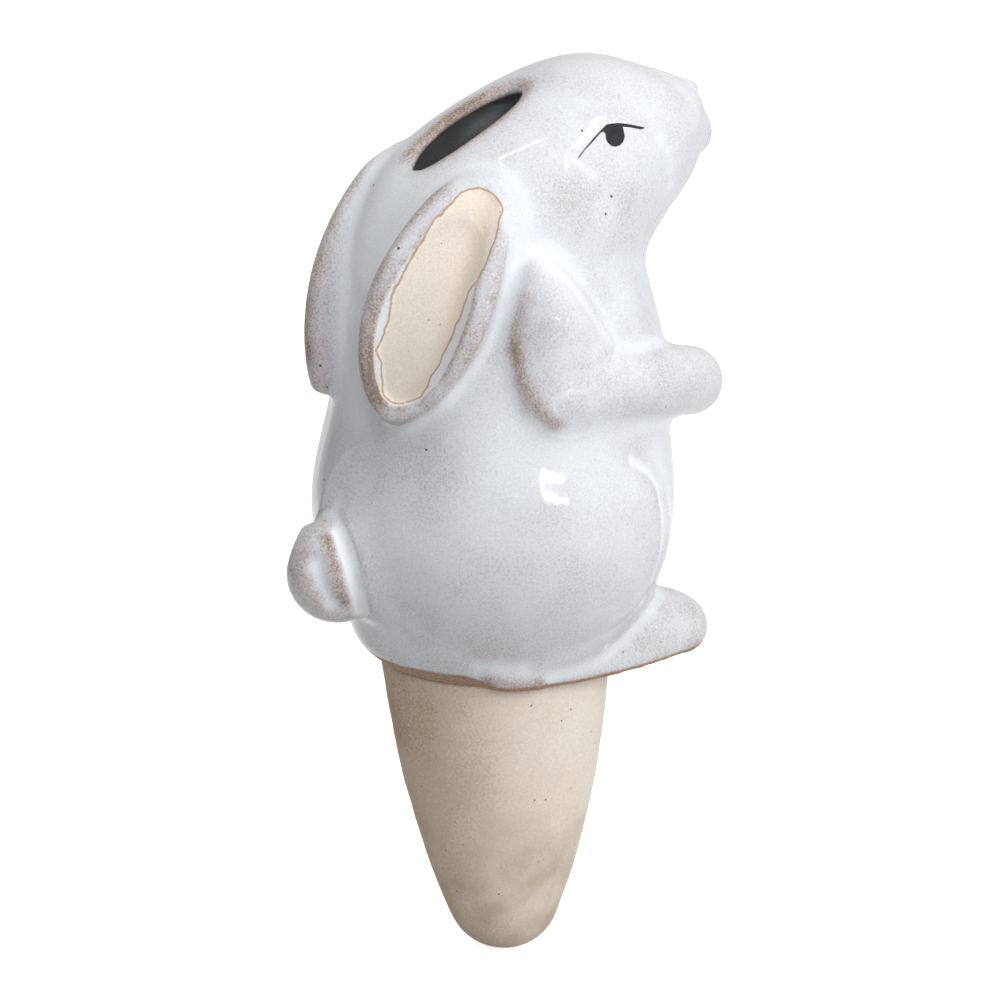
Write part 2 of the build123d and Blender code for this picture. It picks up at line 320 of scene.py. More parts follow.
def rub(clay, path, width, passes, least=None):
    """Sponges the clay soft near a path. With a least rise in mm, slip only goes on, above that rise."""
    rise = rise_to_soft(clay, passes)
    if least is not None:
        rise = np.maximum(rise - least * MM, 0)
    swell(clay.data, rise * close_to(clay.data, path, width))


figure = body.copy()
figure.data = body.data.copy()
bpy.context.scene.collection.objects.link(figure)
luted([figure, *ears, *forelegs, *feet, *tail])
for clay in (body, figure):
    cast(clay)
    swell(clay.data, np.maximum(rise_to_soft(clay, 40), 0) * FILL_SHARE)
    # slip rubbed in behind and under the haunch, which runs into the flank there, fading over a few mm
    # towards the front, the sole, the elbow and the middle
    x, y, z = to_right(points_of(clay.data)).T
    haunch = ease((y + 16) / 20) * ease((z - 6) / 14) * ease((66 - z) / 18) * ease((-16 - x) / 14)
    for coat in range(2):
        swell(clay.data, np.maximum(rise_to_soft(clay, 400) + HAUNCH_SLIP, 0) * haunch)
    swell(clay.data, rise_to_soft(clay, 250) * haunch)
    rub(clay, slot_rim, 2.2, 50)
    for coat in range(2):
        rub(clay, nose_bridge, 4.0, 150, -0.6)
for coat in range(3):
    rub(figure, arm_bend, 5.0, 400, -0.9)
rub(figure, arm_fold, 4.0, 250)
rub(figure, arm_front, 4.0, 300)
for coat in range(2):
    rub(figure, foot_join, 2.5, 120, -0.2)
    rub(figure, tail_join, 5.0, 300, -0.6)
rub(figure, ear_top, 4.5, 200)
for clay in (body, figure):
    press(clay.data, body_marks + foreleg_marks + foot_marks + tail_marks)

# Ear panels
# The troughs of the ears were brushed with wax, so the glaze drew back from them and the clay is
# bare there, in an outline as uneven as the brush, a little below the glaze.
PANEL_STEP = 0.35 * MM
PANEL_REACH = 9
panel_outline = [
    (-23.0, -2.9), (-23.4, -1.3), (-22.4, 0.9), (-21.3, 3.3), (-19.8, 3.7), (-16.3, 4.8), (-12.8, 5.3),
    (-9.4, 5.6), (-4.2, 4.3), (2.5, 4.6), (8.6, 4.6), (14.3, 3.6), (19.1, 3.1), (22.3, -0.1),
    (22.7, -2.2), (21.9, -4.0), (16.2, -6.8), (14.3, -8.3), (8.1, -8.5), (5.7, -9.0), (0.8, -9.4),
    (-4.7, -8.7), (-10.3, -7.8), (-13.9, -7.8), (-16.6, -6.5), (-20.1, -5.6), (-22.2, -4.1),
]


def inside_by(points, outline):
    """How far in mm points lie inside a closed outline, with minus outside it."""
    u, v = points
    inside = np.zeros(len(u), bool)
    nearest = np.full(len(u), np.inf)
    for (a, b), (c, d) in zip(outline, outline[1:] + outline[:1]):
        share = np.clip(((u - a) * (c - a) + (v - b) * (d - b)) / ((c - a) ** 2 + (d - b) ** 2), 0, 1)
        nearest = np.minimum(nearest, np.hypot(u - a - share * (c - a), v - b - share * (d - b)))
        if b != d:
            inside ^= ((b > v) != (d > v)) & (u < (c - a) * (v - b) / (d - b) + a)
    return np.where(inside, nearest, -nearest)


def bare_panel(mesh):
    """How far in mm each point lies inside an ear panel."""
    spots = to_right(points_of(mesh)) - np.array(EAR_MIDDLE)
    flat = (spots @ np.array(EAR_DOWN), spots @ np.array(EAR_FORWARD))
    inside = inside_by(flat, panel_outline)
    return np.where(np.abs(spots @ np.array(EAR_OUT)) < PANEL_REACH, inside, -PANEL_REACH)


# the trough is sponged even, fully so from 3 mm inside the panel's edge
swell(figure.data, rise_to_soft(figure, 160) * np.clip(bare_panel(figure.data) / 3, 0, 1))
press(figure.data, [(ear_valley, 2.7, 0.9)])

# Glaze
# One dip of glossy white glaze over body, ears, legs, feet and tail. It pools blue-white in the
# hollows and runs thin on the edges, where the clay shows through in a speckled tan.
BROAD_SHARE = 0.095
THIN_SHARE = 0.5
PANEL_MOST = 0.04
FOOT_THINNER = 0.03
# Runs are (path, width in mm, how much thinner on the right side and on the left); some are painted shade
# or light.
glaze_and_painted_light_runs = [
    # back of the arm, thinner glaze and painted shade on its rear edge, and thicker on the shoulder
    (arm_back[1:5], 4.0, 0.05, 0.05),
    (arm_back[2:6], 2.2, 0.08, 0.08),
    ([(-29.5, 7.5, 88.5), (-31.0, 4.5, 84.0), (-32.5, 3.0, 78.0)], 5.0, -0.06, -0.06),
    # cheek made thinner as painted shade, and thicker in front of and on the haunch as painted light
    ([(-25.0, -2.0, 100.0), (-25.5, -8.0, 99.0), (-24.5, -14.0, 98.0)], 6.0, 0.05, 0.05),
    ([(-31.0, -20.0, 46.0), (-31.0, -23.0, 38.0), (-31.0, -23.5, 30.0), (-30.0, -22.5, 22.0)],
     4.0, -0.12, -0.12),
    ([(-33.0, 14.0, 50.0), (-35.0, 6.0, 50.0), (-35.0, 0.0, 48.0)], 8.0, -0.06, -0.06),
    # tail, slot and heel
    ([(-2.0, 47.0, 30.0), (-3.0, 48.0, 24.0), (-4.0, 46.5, 20.0)], 5.0, 0.05, 0.05),
    (slot_rim, 1.9, 0.18, 0.18),
    (heel, 2.2, 0.08, 0.08),
    # ears: thicker at the root, thin on the right one's rear rim, darker on the left one's inner side as
    # painted shade, pooled in the groove between them and whitened there as painted light as well, and thin
    # on the front rims
    (ear_top, 4.0, -0.10, -0.10),
    ([(-9.5, 27.5, 98.0), (-11.7, 33.8, 88.0), (-12.2, 36.1, 82.7), (-11.7, 38.1, 72.7),
      (-13.5, 36.6, 62.0)], 2.2, 0.07, -0.03),
    ([(-10.0, 33.0, 90.0), (-10.0, 38.0, 78.0), (-9.5, 38.0, 68.0), (-11.5, 35.0, 59.0)], 7.0, 0.0, 0.06),
    ([(0.0, 24.0, 100.0), (-1.0, 31.0, 86.0), (0.0, 33.0, 70.0), (0.0, 33.4, 58.0)], 6.0, -0.15, -0.15),
    ([(-26.4, 14.9, 86.9), (-26.6, 18.5, 77.3), (-24.9, 22.1, 69.3)], 2.0, 0.05, 0.05),
]


def lay_on(mesh, name, values):
    """Keeps one value for each point on a mesh."""
    kept = mesh.attributes.new(name, "FLOAT", "POINT")
    kept.data.foreach_set("value", values.astype(np.float32))


glaze_depth_and_painted_light = (rise_to_soft(figure, 30) - BROAD_SHARE * rise_to_soft(figure, 300)) / MM
glaze_depth_and_painted_light = np.where(glaze_depth_and_painted_light < 0, THIN_SHARE * glaze_depth_and_painted_light, glaze_depth_and_painted_light)
for path, width, right, left in glaze_and_painted_light_runs:
    thinner = np.where(points_of(figure.data)[:, 0] < 0, right, left)
    glaze_depth_and_painted_light -= thinner * close_to(figure.data, path, width)
# it can't pool within 4 mm of a panel, and it ran thinner towards the foot
glaze_depth_and_painted_light = np.where(bare_panel(figure.data) > -4, np.minimum(glaze_depth_and_painted_light, PANEL_MOST), glaze_depth_and_painted_light)
height = points_of(figure.data)[:, 2] / MM
glaze_depth_and_painted_light -= FOOT_THINNER * ease((24 - height) / 20)
# the sole is wiped clean, and so is a line above it; the band also stands for the shadow under the body, as
# painted shade
wiped_foot_and_shade = ease((-0.45 - outward_of(figure.data)[:, 2]) / 0.25) * ease((6.2 - height) / 2)
wiped_foot_and_shade = np.maximum(wiped_foot_and_shade, ease((1.6 - height) / 1.2))
swell(figure.data, -PANEL_STEP * np.clip(bare_panel(figure.data) + 0.5, 0, 1))


def linear(code):
    """Linear colour of an sRGB hex code."""
    parts = [int(code[i : i + 2], 16) / 255 for i in (1, 3, 5)]
    return [p / 12.92 if p <= 0.04045 else ((p + 0.055) / 1.055) ** 2.4 for p in parts] + [1.0]


def shade(material, kind, links=(), stops=(), **settings):
    """Adds a shader node: settings, inputs by name or place, set or linked, and (place, hex code) stops."""
    made = material.node_tree.nodes.new(kind)
    for name, value in settings.items():
        setattr(made, name, value)
    for name, value in dict(links).items():
        if isinstance(value, bpy.types.NodeSocket):
            material.node_tree.links.new(value, made.inputs[name])
        else:
            made.inputs[name].default_value = value
    if stops:
        made.color_ramp.interpolation = "EASE"
        for place, code in stops[:-2]:
            made.color_ramp.elements.new(place)
        for element, (place, code) in zip(made.color_ramp.elements, stops):
            element.position = place
            element.color = linear(code)
    return made.outputs


def finish_of(name):
    """A new material without nodes, and the object's own coordinates in it."""
    material = bpy.data.materials.new(name)
    material.use_nodes = True
    material.node_tree.nodes.clear()
    return material, shade(material, "ShaderNodeTexCoord")["Object"]


def specks(material, spot, apart, radius, share):
    """Where specks lie: how far apart and of what radius in mm, and the share of places that have one."""
    cell = shade(material, "ShaderNodeTexVoronoi", {"Vector": spot, "Scale": 1 / (apart * MM)})
    near = shade(
        material, "ShaderNodeMath", {0: cell["Distance"], 1: radius / apart}, operation="LESS_THAN"
    )[0]
    chance = shade(material, "ShaderNodeSeparateColor", {"Color": cell["Color"]})["Red"]
    chosen = shade(material, "ShaderNodeMath", {0: chance, 1: share}, operation="LESS_THAN")[0]
    return shade(material, "ShaderNodeMath", {0: near, 1: chosen}, operation="MULTIPLY")[0]


def glaze_finish(name, with_panel):
    """White glaze that breaks speckled tan, and the matte cream clay of the panel where a piece has one."""
    glaze, spot = finish_of(name)
    # the depth also carries painted shade and painted light, which darken or whiten the glaze like its
    # thickness
    depth = shade(glaze, "ShaderNodeAttribute", attribute_name="glaze_depth_and_painted_light")["Fac"]
    # clouds of thicker and thinner dip about 14 mm across, and a mottle of 0.42 mm grains
    cloud = shade(
        glaze, "ShaderNodeTexNoise", {"Vector": spot, "Scale": 1 / (14 * MM), "Detail": 3.0}
    )["Fac"]
    mottle = shade(
        glaze, "ShaderNodeTexNoise", {"Vector": spot, "Scale": 1 / (0.42 * MM), "Detail": 2.0}
    )["Fac"]
    cover = shade(glaze, "ShaderNodeMath", {0: depth, 1: 2.6, 2: -0.1}, operation="MULTIPLY_ADD")[0]
    cover = shade(glaze, "ShaderNodeMath", {0: cloud, 1: 0.5, 2: cover}, operation="MULTIPLY_ADD")[0]
    cover = shade(glaze, "ShaderNodeMath", {0: mottle, 1: 0.7, 2: cover}, operation="MULTIPLY_ADD")[0]
    colour = shade(glaze, "ShaderNodeValToRGB", {"Fac": cover}, [
        (0.00, "#8f796d"), (0.10, "#a99890"), (0.22, "#c2b8b6"), (0.34, "#d0ced2"), (0.48, "#dddfe4"),
        (0.72, "#e8ebf0"), (1.00, "#f3f6f9"),
    ])["Color"]
    iron = specks(glaze, spot, 7.0, 0.315, 0.45)
    colour = shade(
        glaze, "ShaderNodeMix", {"Factor": iron, 6: colour, 7: linear("#6d5a50")}, data_type="RGBA"
    )[2]
    # the foot of the dip is wiped off, so a line of brown clay shows at the base, dark enough to be painted
    # shade under the body as well
    foot = shade(glaze, "ShaderNodeAttribute", attribute_name="wiped_foot_and_shade")["Fac"]
    foot = shade(glaze, "ShaderNodeMath", {0: cloud, 1: 1.2, 2: foot}, operation="MULTIPLY_ADD")[0]
    foot = shade(glaze, "ShaderNodeMapRange", {"Value": foot, "From Min": 0.95, "From Max": 1.25})[0]
    foot_clay_and_shade = shade(
        glaze, "ShaderNodeValToRGB", {"Fac": mottle}, [(0.3, "#8d6e57"), (0.7, "#b8987e")]
    )["Color"]
    colour = shade(glaze, "ShaderNodeMix", {"Factor": foot, 6: colour, 7: foot_clay_and_shade}, data_type="RGBA")[2]
    rough = shade(glaze, "ShaderNodeMath", {0: foot, 1: 0.6, 2: 0.07}, operation="MULTIPLY_ADD")[0]
    if with_panel:
        # the wax was brushed on, so the panel's edge wavers, with a brown line where the glaze ends
        inside = shade(glaze, "ShaderNodeAttribute", attribute_name="bare")["Fac"]
        brush = shade(
            glaze, "ShaderNodeTexNoise", {"Vector": spot, "Scale": 1 / (3.5 * MM), "Detail": 3.0}
        )["Fac"]
        inside = shade(glaze, "ShaderNodeMath", {0: brush, 1: 1.6, 2: inside}, operation="MULTIPLY_ADD")[0]
        line = shade(glaze, "ShaderNodeMapRange", {"Value": inside, "From Min": 0.45, "From Max": 1.05})[0]
        line = shade(
            glaze,
            "ShaderNodeValToRGB",
            {"Fac": line},
            [(0.0, "#000000"), (0.45, "#ffffff"), (0.6, "#ffffff"), (1.0, "#000000")],
        )["Color"]
        panel = shade(glaze, "ShaderNodeMapRange", {"Value": inside, "From Min": 0.7, "From Max": 0.85})[0]
        clay = shade(
            glaze, "ShaderNodeValToRGB", {"Fac": mottle}, [(0.3, "#ebdfd1"), (0.7, "#f6eee4")]
        )["Color"]
        grit = specks(glaze, spot, 1.9, 0.19, 0.3)
        clay = shade(
            glaze, "ShaderNodeMix", {"Factor": grit, 6: clay, 7: linear("#b48e6c")}, data_type="RGBA"
        )[2]
        # painted shade: the clay is darkened along the valley of the ear's trough, where its far side turns
        # from the light
        valley_shade_mask = shade(glaze, "ShaderNodeAttribute", attribute_name="painted_valley_shade")["Fac"]
        clay = shade(
            glaze, "ShaderNodeMix", {"Factor": valley_shade_mask, 6: clay, 7: linear("#d3bda4")}, data_type="RGBA"
        )[2]
        colour = shade(glaze, "ShaderNodeMix", {"Factor": panel, 6: colour, 7: clay}, data_type="RGBA")[2]
        colour = shade(
            glaze, "ShaderNodeMix", {"Factor": line, 6: colour, 7: linear("#bc9c7e")}, data_type="RGBA"
        )[2]
        rough = shade(glaze, "ShaderNodeMath", {0: panel, 1: 0.75, 2: rough}, operation="MULTIPLY_ADD")[0]
    wave = shade(
        glaze, "ShaderNodeBump", {"Height": cloud, "Strength": 0.08, "Distance": 1.0 * MM}
    )["Normal"]
    surface = shade(
        glaze,
        "ShaderNodeBsdfPrincipled",
        {"Base Color": colour, "Roughness": rough, "IOR": 1.5, "Normal": wave},
    )["BSDF"]
    shade(glaze, "ShaderNodeOutputMaterial", {"Surface": surface})
    return glaze


white_glaze = glaze_finish("white_stoneware_glaze", False)
panel_glaze = glaze_finish("white_stoneware_glaze_waxed", True)

# Pieces under the glaze
# Each luted piece is lifted off the figure as a skin of its own where it stands proud of the body,
# with its edge let into the body as the slip holds it.
SKIN = 1.2 * MM
PROUD_MM = 0.3
LIFT = 0.01 * MM
BEDDING = 0.5 * MM
PIECE_REACH = 8 * MM
SOFT_EDGE = math.radians(50)
INNER_GAP = 12 * MM
KEPT_FACES = 0.66
luted_nodes = [
    "left_ear", "right_ear", "left_foreleg", "right_foreleg", "left_hind_foot", "right_hind_foot", "tail",
]


def tree_of(mesh):
    """Search tree of a mesh's faces."""
    return BVHTree.FromPolygons([v.co for v in mesh.vertices], [p.vertices for p in mesh.polygons])


skin_points = points_of(figure.data)
skin_faces = np.empty(len(figure.data.loops), np.int64)
figure.data.loops.foreach_get("vertex_index", skin_faces)
skin_faces = skin_faces.reshape(-1, 4)
under = tree_of(body.data)
stand = np.array([under.find_nearest(point)[3] for point in skin_points]) / MM
# the glaze is made a little thinner, so darker, where the pieces stand out, and more so at the back as
# painted shade
glaze_depth_and_painted_light -= (0.01 + 0.02 * ease(skin_points[:, 1] / (12 * MM))) * ease(stand / 3)
bare = bare_panel(figure.data)
# painted shade along the valley of each ear's trough, up to 0.35 of the way to the darker clay
painted_valley_shade = 0.35 * close_to(figure.data, ear_valley, 3.0)
# the body's skin is drawn onto the figure where they nearly meet, and the pieces lie just over it
over = tree_of(figure.data)
body_points = points_of(body.data)
hits = [over.find_nearest(point) for point in body_points]
pull = np.clip(2 - np.array([hit[3] for hit in hits]) / BEDDING, 0, 1)
move(body.data, body_points + (np.array([hit[0] for hit in hits]) - body_points) * pull[:, None])
lifted_points = skin_points + outward_of(figure.data) * LIFT
node_trees = [tree_of(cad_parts[node].data) for node in luted_nodes]
owner = np.full(len(skin_points), -1)
for index in np.flatnonzero((stand > PROUD_MM) | (bare > -1)):
    reach = [tree.find_nearest(skin_points[index])[3] for tree in node_trees]
    if min(reach) < PIECE_REACH:
        owner[index] = int(np.argmin(reach))
face_owner = owner[skin_faces].max(axis=1)
for place, node in enumerate(luted_nodes):
    used, faces = np.unique(skin_faces[face_owner == place], return_inverse=True)
    mesh = bpy.data.meshes.new(node + "_glazed")
    mesh.from_pydata(lifted_points[used], [], faces.reshape(-1, 4).tolist())
    lay_on(mesh, "glaze_depth_and_painted_light", glaze_depth_and_painted_light[used])
    lay_on(mesh, "wiped_foot_and_shade", wiped_foot_and_shade[used])
    lay_on(mesh, "bare", bare[used])
    lay_on(mesh, "painted_valley_shade", painted_valley_shade[used])
    piece = bpy.data.objects.new(node + "_glazed", mesh)
    bpy.context.scene.collection.objects.link(piece)
    pick_up(piece)
    # the patch of the inner wall behind the piece stays with the body
    bpy.ops.mesh.separate(type="LOOSE")
    parts = sorted(bpy.context.selected_objects, key=lambda part: len(part.data.vertices))
    piece.data = parts[-1].data
    for part in parts:
        if part != piece:
            bpy.data.objects.remove(part)
    pick_up(piece)
    wall = piece.modifiers.new("wall", "SOLIDIFY")
    wall.thickness = SKIN
    wall.offset = -1
    bpy.ops.object.modifier_apply(modifier="wall")
    bpy.ops.object.shade_smooth_by_angle(angle=SOFT_EDGE)
    piece.data.materials.append(panel_glaze if node.endswith("ear") else white_glaze)
    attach(piece, "root")
    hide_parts(node)

# the inner wall, of which only the slot shows a little, gets larger faces
facing = tree_of(body.data)
gaps = np.array([
    facing.ray_cast(Vector(point + way * MM), Vector(way))[3] or 0
    for point, way in zip(points_of(body.data), outward_of(body.data))
])
inner_wall = body.vertex_groups.new(name="inner_wall")
inner_wall.add(np.flatnonzero(gaps > INNER_GAP).tolist(), 1, "REPLACE")
pick_up(body)
thin = body.modifiers.new("thin", "DECIMATE")
thin.vertex_group = "inner_wall"
thin.ratio = KEPT_FACES
bpy.ops.object.modifier_apply(modifier="thin")
body.vertex_groups.clear()

near_point = KDTree(len(skin_points))
for index, point in enumerate(skin_points):
    near_point.insert(point, index)
near_point.balance()
match = np.array([near_point.find(point)[1] for point in points_of(body.data)])
lay_on(body.data, "glaze_depth_and_painted_light", glaze_depth_and_painted_light[match])
lay_on(body.data, "wiped_foot_and_shade", wiped_foot_and_shade[match])
body.name = "body_glazed"
bpy.ops.object.shade_smooth()
body.data.materials.append(white_glaze)
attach(body, "root")
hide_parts("left_body_half", "right_body_half")
bpy.data.objects.remove(figure)

# Eyes
# Lash line and pupil, brushed in one go with black underglaze colour and fired on under the gloss.
# Each is a thin skin that lies on the eyeball, cut flat in front of it and then laid on.
EYE_STANDOFF = 6
PAINT_LIFT = 0.06 * MM
PAINT_THICKNESS = 0.2 * MM
eye_outline = [
    (-10.2, -0.9), (-9.1, -0.3), (-6.9, 0.7), (-4.1, 1.8), (-1.6, 2.7), (-0.2, 3.1), (0.9, 2.9), (2.3, 2.5),
    (3.9, 1.7), (5.7, 0.7), (7.1, -0.1), (7.9, -0.6), (6.6, -0.5), (5.5, 0.1), (4.1, 0.9), (2.9, 1.4),
    (2.6, 0.4), (2.2, -0.6), (1.3, -1.4), (0.2, -1.8), (-0.9, -1.7), (-1.7, -1.2), (-2.1, -0.3),
    (-2.0, 0.6), (-1.5, 1.5), (-1.7, 2.1), (-2.3, 2.1), (-3.4, 1.7), (-5.2, 1.0), (-7.3, 0.3), (-9.2, -0.6),
]
# glossy black with the streaks of a brush in it
black_paint, spot = finish_of("black_underglaze_paint")
streak = shade(
    black_paint, "ShaderNodeTexNoise", {"Vector": spot, "Scale": 1 / (2.5 * MM), "Detail": 4.0}
)["Fac"]
colour = shade(
    black_paint, "ShaderNodeValToRGB", {"Fac": streak}, [(0.35, "#131416"), (0.75, "#2c2d31")]
)["Color"]
surface = shade(
    black_paint, "ShaderNodeBsdfPrincipled", {"Base Color": colour, "Roughness": 0.12, "IOR": 1.5}
)["BSDF"]
shade(black_paint, "ShaderNodeOutputMaterial", {"Surface": surface})
eye_up = EYE_OUT.cross(EYE_FORWARD)
for name, side in (("right_eye_paint", 1), ("left_eye_paint", -1)):
    flip = Matrix.Diagonal((side, 1, 1))
    rim = [
        flip @ (EYE_CENTRE + EYE_OUT * EYE_STANDOFF + EYE_FORWARD * u + eye_up * v) * MM
        for u, v in eye_outline
    ]
    mesh = bpy.data.meshes.new(name)
    mesh.from_pydata(rim, [], [list(range(len(rim)))[:: -side]])
    eye = bpy.data.objects.new(name, mesh)
    bpy.context.scene.collection.objects.link(eye)
    pick_up(eye)
    bpy.ops.object.mode_set(mode="EDIT")
    bpy.ops.mesh.select_all(action="SELECT")
    bpy.ops.mesh.quads_convert_to_tris()
    bpy.ops.mesh.subdivide(number_cuts=5)
    bpy.ops.object.mode_set(mode="OBJECT")
    wrap = eye.modifiers.new("wrap", "SHRINKWRAP")
    wrap.target = body
    wrap.wrap_method = "PROJECT"
    wrap.use_negative_direction = True
    wrap.use_positive_direction = True
    wrap.offset = PAINT_LIFT
    wall = eye.modifiers.new("wall", "SOLIDIFY")
    wall.thickness = PAINT_THICKNESS
    wall.offset = -1
    for stage in ("wrap", "wall"):
        bpy.ops.object.modifier_apply(modifier=stage)
    bpy.ops.object.shade_smooth_by_angle(angle=SOFT_EDGE)
    mesh.materials.append(black_paint)
    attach(eye, "root")

# Spike
# A hollow cone of the same clay, left bare and porous so that the water seeps out. It was finished by
# hand, scraped a little thinner below and luted on a little out of true.
LEAN = (0.0163, 0.0247, 0)
SCRAPED = 0.02
SCRAPE_RUN = 20 * MM
TOP_RADIUS = 24 * MM
PAINTED_LIGHT_SIDE = (-0.545, -0.839, 0.0)
spike = clay_copy("spike")
cast(spike)
uneven = bpy.data.textures.new("hand_finish", "CLOUDS")
uneven.noise_scale = 14 * MM
hand = spike.modifiers.new("hand", "DISPLACE")
hand.texture = uneven
hand.strength = 0.5 * MM
bpy.ops.object.modifier_apply(modifier="hand")
cone = points_of(spike.data)
cone[:, :2] *= 1 - SCRAPED * np.clip(-cone[:, 2:] / SCRAPE_RUN, 0, 1)
move(spike.data, cone + np.minimum(cone[:, 2:], 0) * LEAN)
# matte beige clay in patches of 22 mm and grains of 0.5 mm, paler towards the key lamp's side and darker on
# the far side as painted light and shade
bare_clay, spot = finish_of("bare_stoneware")
grain = shade(
    bare_clay, "ShaderNodeTexNoise", {"Vector": spot, "Scale": 1 / (0.5 * MM), "Detail": 2.0}
)["Fac"]
patch = shade(
    bare_clay, "ShaderNodeTexNoise", {"Vector": spot, "Scale": 1 / (22 * MM), "Detail": 4.0}
)["Fac"]
tone = shade(bare_clay, "ShaderNodeMath", {0: patch, 1: 0.8, 2: -0.25}, operation="MULTIPLY_ADD")[0]
tone = shade(bare_clay, "ShaderNodeMath", {0: grain, 1: 0.7, 2: tone}, operation="MULTIPLY_ADD")[0]
# painted light and shade: the clay is paler on the side facing the key lamp and darker away from it
painted_light_side = shade(bare_clay, "ShaderNodeVectorMath", {0: spot, 1: PAINTED_LIGHT_SIDE}, operation="DOT_PRODUCT")["Value"]
tone = shade(
    bare_clay, "ShaderNodeMath", {0: painted_light_side, 1: 0.35 / TOP_RADIUS, 2: tone}, operation="MULTIPLY_ADD"
)[0]
colour = shade(
    bare_clay,
    "ShaderNodeValToRGB",
    {"Fac": tone},
    [(0.0, "#c2a388"), (0.3, "#dbc8b3"), (0.6, "#ecdfd0"), (0.9, "#f5ede3")],
)["Color"]
# soil stains, about 11 mm across, more of them towards the tip
stain = shade(
    bare_clay, "ShaderNodeTexNoise", {"Vector": spot, "Scale": 1 / (11 * MM), "Detail": 5.0}
)["Fac"]
stain = shade(bare_clay, "ShaderNodeMapRange", {"Value": stain, "From Min": 0.42, "From Max": 0.72})[0]
depth = shade(bare_clay, "ShaderNodeSeparateXYZ", {"Vector": spot})["Z"]
buried = shade(
    bare_clay,
    "ShaderNodeMapRange",
    {"Value": depth, "From Min": -18 * MM, "From Max": -48 * MM, "To Max": 0.6},
)[0]
stain = shade(bare_clay, "ShaderNodeMath", {0: stain, 1: buried}, operation="MULTIPLY")[0]
colour = shade(
    bare_clay, "ShaderNodeMix", {"Factor": stain, 6: colour, 7: linear("#ad8a64")}, data_type="RGBA"
)[2]
iron = specks(bare_clay, spot, 2.6, 0.208, 0.35)
colour = shade(
    bare_clay, "ShaderNodeMix", {"Factor": iron, 6: colour, 7: linear("#8a6a50")}, data_type="RGBA"
)[2]
pores = shade(
    bare_clay, "ShaderNodeBump", {"Height": grain, "Strength": 0.25, "Distance": 0.2 * MM}
)["Normal"]
surface = shade(
    bare_clay,
    "ShaderNodeBsdfPrincipled",
    {"Base Color": colour, "Roughness": 0.85, "IOR": 1.45, "Normal": pores},
)["BSDF"]
shade(bare_clay, "ShaderNodeOutputMaterial", {"Surface": surface})
spike.name = "spike_bare"
bpy.ops.object.shade_smooth()
spike.data.materials.append(bare_clay)
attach(spike, "root")
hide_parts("spike")

# Studio
# A white paper floor under the tip of the spike, soft boxes from the right, the top and the front
# with a weak one from the left, small windows for the gloss, and a long lens as in the photograph.
CAMERA_PLACE = Vector((-0.7930, 0.5150, 0.3256))
AIM = Vector((0.0079, -0.0063, 0.0292))
FIGURE_MIDDLE = Vector((0, 0, 0.05))
SENSOR = 36
FOCAL_RATIO = 4.82
away = (AIM - CAMERA_PLACE).normalized()
across = away.cross(Vector((0, 0, 1))).normalized()
above = across.cross(away)
ahead = Vector((away.x, away.y, 0)).normalized()
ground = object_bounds()[0].z
bpy.ops.mesh.primitive_plane_add(size=6, location=(0, 0, ground))
floor = bpy.context.object
floor.name = "paper_floor"
# white to the lens, with the figure's shadow on it, and dimmer as a source of light
paper, spot = finish_of("white_paper")
fibre = shade(paper, "ShaderNodeTexNoise", {"Vector": spot, "Scale": 1 / (2.5 * MM), "Detail": 2.0})["Fac"]
colour = shade(paper, "ShaderNodeValToRGB", {"Fac": fibre}, [(0.3, "#f4f4f4"), (0.7, "#f8f8f8")])["Color"]
seen = shade(paper, "ShaderNodeLightPath")
ray = shade(
    paper, "ShaderNodeMath", {0: seen["Is Camera Ray"], 1: seen["Is Glossy Ray"]}, operation="MAXIMUM"
)[0]
ray = shade(paper, "ShaderNodeMath", {0: ray, 1: seen["Is Transmission Ray"]}, operation="MAXIMUM")[0]
lit = shade(paper, "ShaderNodeBsdfDiffuse", {"Color": colour})["BSDF"]
dim = shade(paper, "ShaderNodeBsdfDiffuse", {"Color": linear("#b0b0b0")})["BSDF"]
level = shade(
    paper, "ShaderNodeMapRange", {"Value": seen["Is Camera Ray"], "To Min": 0.3, "To Max": 0.8}
)[0]
glow = shade(paper, "ShaderNodeEmission", {"Color": (1, 1, 1, 1), "Strength": level})["Emission"]
both = shade(paper, "ShaderNodeAddShader", {0: lit, 1: glow})["Shader"]
surface = shade(paper, "ShaderNodeMixShader", {0: ray, 1: dim, 2: both})["Shader"]
shade(paper, "ShaderNodeOutputMaterial", {"Surface": surface})
floor.data.materials.append(paper)

# A graded grey card on the floor at the left, which only the gloss shows, tones that side. Its
# corners are in metres right of the figure and beyond it.
corners = [
    across * -0.13 - ahead * 0.15,
    across * -0.36 + ahead * 2.0,
    across * -2.2 + ahead * 2.0,
    across * -1.6 - ahead * 0.15,
]
mesh = bpy.data.meshes.new("grey_card")
mesh.from_pydata([(p.x, p.y, ground + 1 * MM) for p in corners], [], [(3, 2, 1, 0)])
card = bpy.data.objects.new("grey_card", mesh)
bpy.context.scene.collection.objects.link(card)
board, spot = finish_of("graded_card")
near_edge = (corners[1] - corners[0]).normalized()
beyond = Vector((-near_edge.y, near_edge.x, 0))
far = shade(board, "ShaderNodeVectorMath", {0: spot, 1: beyond}, operation="DOT_PRODUCT")["Value"]
far = shade(board, "ShaderNodeMath", {0: far, 1: beyond.dot(corners[0])}, operation="SUBTRACT")[0]
colour = shade(
    board,
    "ShaderNodeValToRGB",
    {"Fac": far},
    [(0.0, "#ffffff"), (0.12, "#c8c8c8"), (0.4, "#6a6a6a"), (1.0, "#383838")],
)["Color"]
tone = shade(board, "ShaderNodeEmission", {"Color": colour})["Emission"]
shade(board, "ShaderNodeOutputMaterial", {"Surface": tone})
mesh.materials.append(board)
card.visible_camera = card.visible_diffuse = card.visible_shadow = False

